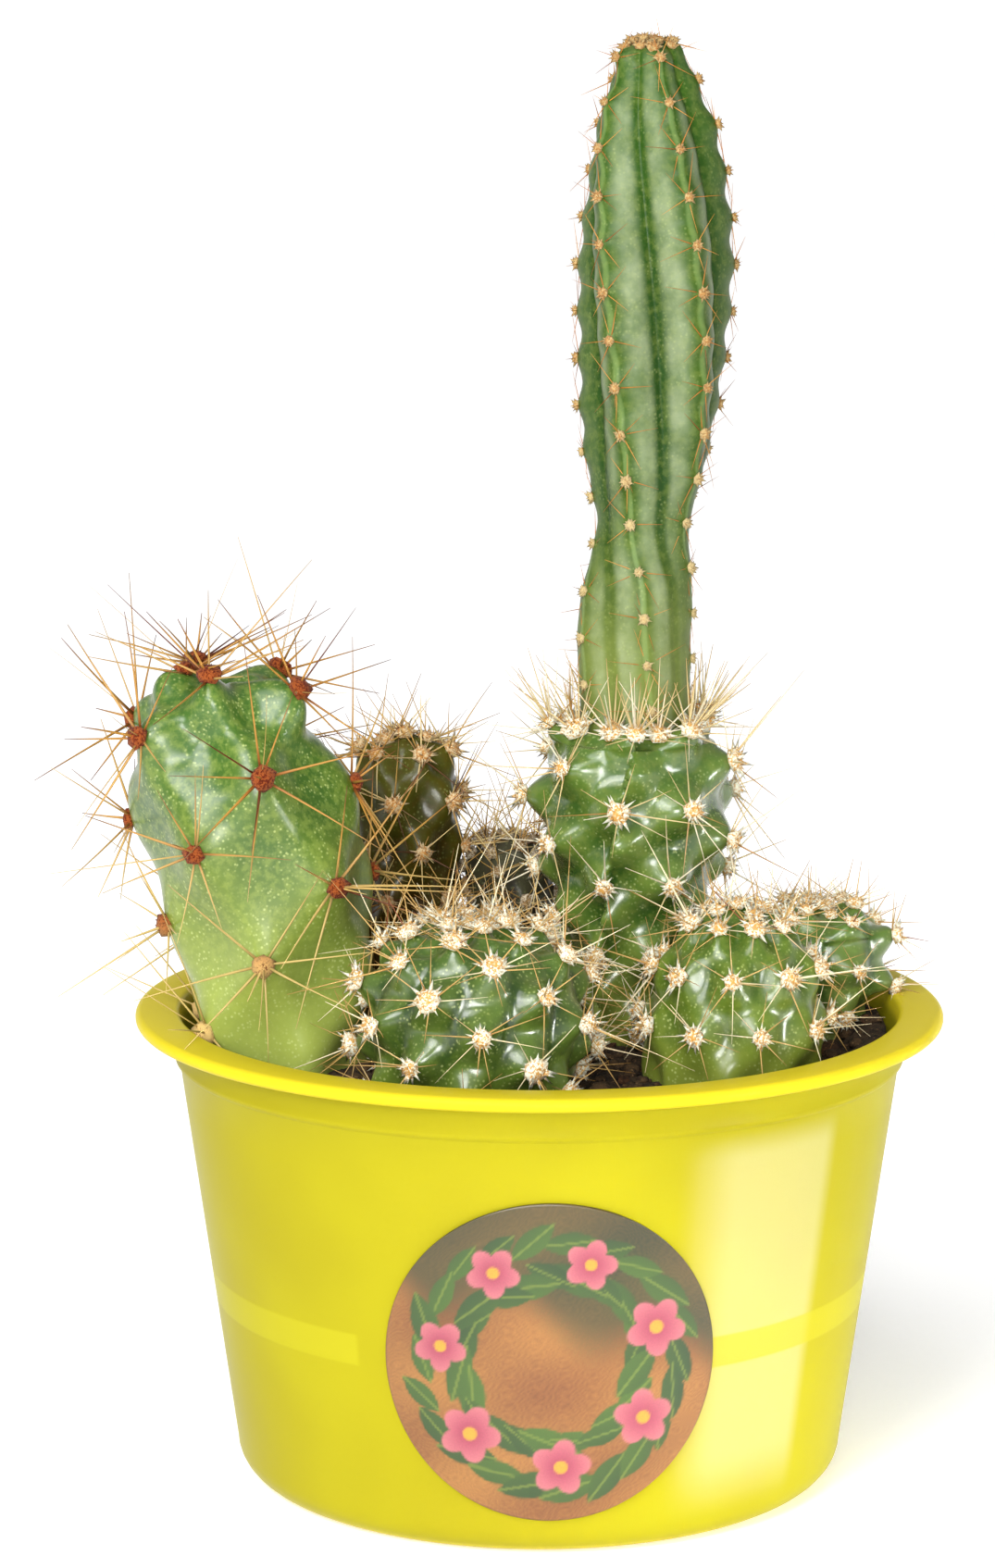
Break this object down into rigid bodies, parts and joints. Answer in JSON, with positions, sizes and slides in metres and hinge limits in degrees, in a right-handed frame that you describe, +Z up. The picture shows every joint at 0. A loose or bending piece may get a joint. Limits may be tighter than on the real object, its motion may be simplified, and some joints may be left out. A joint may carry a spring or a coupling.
{
  "type": "potted cactus arrangement",
  "caption": "Yellow tapered plastic pot with a wide flat rim and a round label, planted with low spiny cacti, a leaning one and a tall ribbed column.",
  "frame": {"origin": "middle of the pot's flat underside", "axes": "+Z up the tall column, -Y toward the front with the label, +X to the right"},
  "size_m": [0.143, 0.1198, 0.2131],
  "materials": {
    "pot_plastic": "semi-gloss moulded yellow plastic",
    "sticker": null,
    "soil": "damp dark potting mix",
    "left_skin": "waxy bright green skin with golden spines",
    "back_left_skin": "waxy dark green skin",
    "woolly_skin": "dark skin with a dry woolly crown",
    "front_skin": "waxy dark green skin with cream spines",
    "stock_skin": "waxy green skin with cream spines",
    "column_skin": "smooth waxy green skin",
    "right_skin": "waxy pale green skin with cream spines",
    "right_back_skin": "waxy dark green skin"
  },
  "bodies": {
    "root": {"pot": "pot_plastic", "round_label": "sticker", "soil": "soil", "left_cactus": "left_skin", "back_left_cactus": "back_left_skin", "woolly_cactus": "woolly_skin", "front_cactus": "front_skin", "stock_cactus": "stock_skin", "tall_column": "column_skin", "right_cactus": "right_skin", "right_back_cactus": "right_back_skin"}
  },
  "joints": []
}
